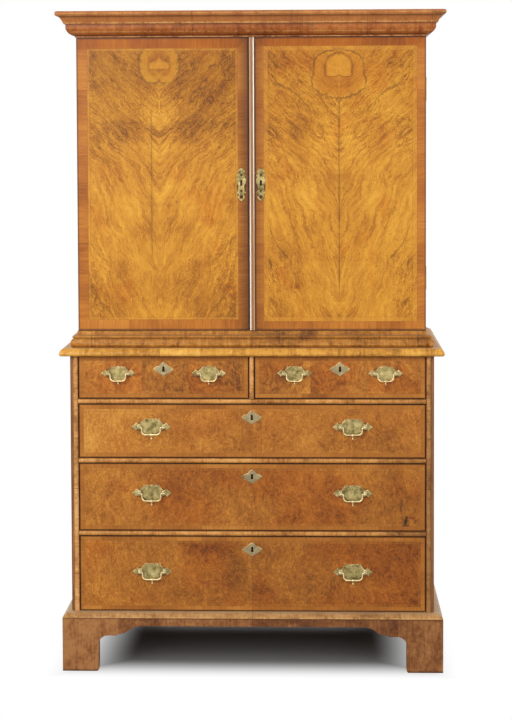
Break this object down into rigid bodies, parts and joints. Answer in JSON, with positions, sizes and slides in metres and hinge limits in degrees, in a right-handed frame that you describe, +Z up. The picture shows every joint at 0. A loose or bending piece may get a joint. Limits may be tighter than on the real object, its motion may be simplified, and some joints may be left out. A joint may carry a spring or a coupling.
{
  "type": "cabinet on chest",
  "caption": "Walnut cabinet on chest: a two-door cabinet with moulded cornice on a chest of graduated drawers with bracket feet and swinging brass bail handles.",
  "frame": {"origin": "floor level, at the middle of the width and of the depth over the cornice", "axes": "+X to the right as seen from the front, +Y to the back, +Z up"},
  "size_m": [1.07, 0.551, 1.83],
  "materials": {
    "figured_walnut": "waxed book-matched veneer",
    "moulding_walnut": "waxed cross-grain walnut",
    "side_walnut": "waxed straight-grain veneer",
    "oak": "plain oak",
    "pine": "plain pine",
    "brass": "old polished brass",
    "iron": "dark iron"
  },
  "bodies": {
    "case": {"base_moulding": "moulding_walnut", "cabinet_back_boards": "pine", "cabinet_bottom_board": "pine", "cabinet_rails": "moulding_walnut", "cabinet_sides": "side_walnut", "cabinet_top_board": "pine", "case_hinge_leaves": "brass", "chest_back_boards": "pine", "chest_sides": "side_walnut", "chest_top_and_bottom": "pine", "chest_top_moulding": "moulding_walnut", "cornice": "moulding_walnut", "drawer_rails": "moulding_walnut", "drawer_stops": "pine", "dust_boards": "oak", "foot_blocks": "pine", "front_beads": "moulding_walnut", "plinth_front": "moulding_walnut", "plinth_sides": "moulding_walnut", "rear_feet": "pine", "shelf_bearers": "oak", "shelves": "oak", "top_drawer_divider": "moulding_walnut", "waist_moulding": "moulding_walnut"},
    "left_door": {"left_door": "figured_walnut", "left_door_hinge_leaves": "brass", "left_door_escutcheon": "brass", "bolt_guides": "brass"},
    "right_door": {"right_door": "figured_walnut", "right_door_hinge_leaves": "brass", "right_door_escutcheon": "brass", "astragal": "moulding_walnut", "door_lock": "iron"},
    "upper_bolt": {"upper_bolt": "brass"},
    "lower_bolt": {"lower_bolt": "brass"},
    "top_left_drawer": {"top_left_drawer_front": "figured_walnut", "top_left_drawer_box": "oak", "top_left_drawer_brasses": "brass"},
    "top_left_drawer_left_bail": {"top_left_drawer_left_bail": "brass"},
    "top_left_drawer_right_bail": {"top_left_drawer_right_bail": "brass"},
    "top_right_drawer": {"top_right_drawer_front": "figured_walnut", "top_right_drawer_box": "oak", "top_right_drawer_brasses": "brass"},
    "top_right_drawer_left_bail": {"top_right_drawer_left_bail": "brass"},
    "top_right_drawer_right_bail": {"top_right_drawer_right_bail": "brass"},
    "upper_drawer": {"upper_drawer_front": "figured_walnut", "upper_drawer_box": "oak", "upper_drawer_brasses": "brass"},
    "upper_drawer_left_bail": {"upper_drawer_left_bail": "brass"},
    "upper_drawer_right_bail": {"upper_drawer_right_bail": "brass"},
    "middle_drawer": {"middle_drawer_front": "figured_walnut", "middle_drawer_box": "oak", "middle_drawer_brasses": "brass"},
    "middle_drawer_left_bail": {"middle_drawer_left_bail": "brass"},
    "middle_drawer_right_bail": {"middle_drawer_right_bail": "brass"},
    "lower_drawer": {"lower_drawer_front": "figured_walnut", "lower_drawer_box": "oak", "lower_drawer_brasses": "brass"},
    "lower_drawer_left_bail": {"lower_drawer_left_bail": "brass"},
    "lower_drawer_right_bail": {"lower_drawer_right_bail": "brass"}
  },
  "joints": [
    {"name": "left_door_hinge", "type": "hinge", "parent": "case", "child": "left_door", "pos_m": [-0.4825, -0.2007, 1.35], "axis": [0, 0, -1], "range_deg": [0, 170]},
    {"name": "right_door_hinge", "type": "hinge", "parent": "case", "child": "right_door", "pos_m": [0.4825, -0.2007, 1.35], "axis": [0, 0, 1], "range_deg": [0, 170]},
    {"name": "upper_bolt_slide", "type": "slide", "parent": "left_door", "child": "upper_bolt", "axis": [0, 0, 1], "range_m": [0, 0.016]},
    {"name": "lower_bolt_slide", "type": "slide", "parent": "left_door", "child": "lower_bolt", "axis": [0, 0, -1], "range_m": [0, 0.016]},
    {"name": "top_left_drawer_slide", "type": "slide", "parent": "case", "child": "top_left_drawer", "axis": [0, -1, 0], "range_m": [0, 0.36]},
    {"name": "top_left_drawer_left_bail_swing", "type": "hinge", "parent": "top_left_drawer", "child": "top_left_drawer_left_bail", "pos_m": [-0.3705, -0.2571, 0.83075], "axis": [-1, 0, 0], "range_deg": [-15, 150]},
    {"name": "top_left_drawer_right_bail_swing", "type": "hinge", "parent": "top_left_drawer", "child": "top_left_drawer_right_bail", "pos_m": [-0.1185, -0.2571, 0.83075], "axis": [-1, 0, 0], "range_deg": [-15, 150]},
    {"name": "top_right_drawer_slide", "type": "slide", "parent": "case", "child": "top_right_drawer", "axis": [0, -1, 0], "range_m": [0, 0.36]},
    {"name": "top_right_drawer_left_bail_swing", "type": "hinge", "parent": "top_right_drawer", "child": "top_right_drawer_left_bail", "pos_m": [0.1185, -0.2571, 0.83075], "axis": [-1, 0, 0], "range_deg": [-15, 150]},
    {"name": "top_right_drawer_right_bail_swing", "type": "hinge", "parent": "top_right_drawer", "child": "top_right_drawer_right_bail", "pos_m": [0.3705, -0.2571, 0.83075], "axis": [-1, 0, 0], "range_deg": [-15, 150]},
    {"name": "upper_drawer_slide", "type": "slide", "parent": "case", "child": "upper_drawer", "axis": [0, -1, 0], "range_m": [0, 0.36]},
    {"name": "upper_drawer_left_bail_swing", "type": "hinge", "parent": "upper_drawer", "child": "upper_drawer_left_bail", "pos_m": [-0.2795, -0.2571, 0.68125], "axis": [-1, 0, 0], "range_deg": [-15, 150]},
    {"name": "upper_drawer_right_bail_swing", "type": "hinge", "parent": "upper_drawer", "child": "upper_drawer_right_bail", "pos_m": [0.2795, -0.2571, 0.68125], "axis": [-1, 0, 0], "range_deg": [-15, 150]},
    {"name": "middle_drawer_slide", "type": "slide", "parent": "case", "child": "middle_drawer", "axis": [0, -1, 0], "range_m": [0, 0.36]},
    {"name": "middle_drawer_left_bail_swing", "type": "hinge", "parent": "middle_drawer", "child": "middle_drawer_left_bail", "pos_m": [-0.2795, -0.2571, 0.496], "axis": [-1, 0, 0], "range_deg": [-15, 150]},
    {"name": "middle_drawer_right_bail_swing", "type": "hinge", "parent": "middle_drawer", "child": "middle_drawer_right_bail", "pos_m": [0.2795, -0.2571, 0.496], "axis": [-1, 0, 0], "range_deg": [-15, 150]},
    {"name": "lower_drawer_slide", "type": "slide", "parent": "case", "child": "lower_drawer", "axis": [0, -1, 0], "range_m": [0, 0.36]},
    {"name": "lower_drawer_left_bail_swing", "type": "hinge", "parent": "lower_drawer", "child": "lower_drawer_left_bail", "pos_m": [-0.2795, -0.2571, 0.2755], "axis": [-1, 0, 0], "range_deg": [-15, 150]},
    {"name": "lower_drawer_right_bail_swing", "type": "hinge", "parent": "lower_drawer", "child": "lower_drawer_right_bail", "pos_m": [0.2795, -0.2571, 0.2755], "axis": [-1, 0, 0], "range_deg": [-15, 150]}
  ]
}
